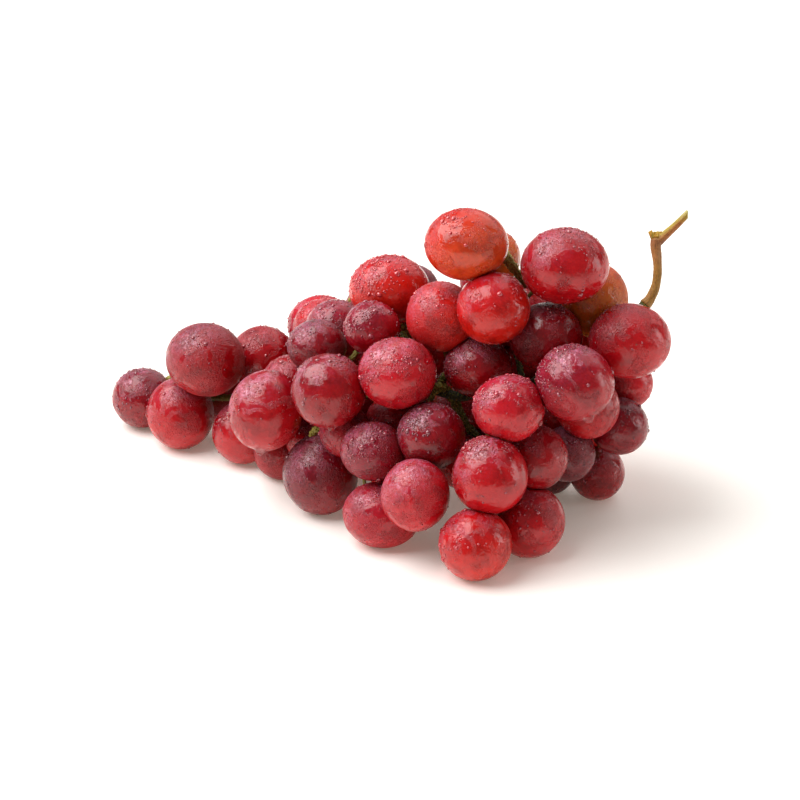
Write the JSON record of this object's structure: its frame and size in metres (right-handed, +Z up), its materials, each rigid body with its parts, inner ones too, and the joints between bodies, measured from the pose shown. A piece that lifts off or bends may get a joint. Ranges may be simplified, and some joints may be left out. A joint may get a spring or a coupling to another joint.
{
  "type": "bunch of grapes",
  "caption": "Bunch of red table grapes lying on its side, with round berries on a branching stem and a bare cut stem end.",
  "frame": {"origin": "on the surface that the bunch lies on, under the middle of its box", "axes": "+X along the bunch towards the cut stem, +Z up, +Y to the side that the picture hides"},
  "size_m": [0.1848, 0.1048, 0.0972],
  "materials": {
    "berry_skin": "wet glossy fruit skin, red to dark purple with a faint bloom",
    "stem_bark": "matt olive to ochre stem with lengthwise streaks"
  },
  "bodies": {
    "root": {"berries_tip": "berry_skin", "berries_front_left": "berry_skin", "berries_back_left": "berry_skin", "berries_front_right": "berry_skin", "berries_back_right": "berry_skin", "berries_crown": "berry_skin", "stem": "stem_bark"}
  },
  "joints": []
}
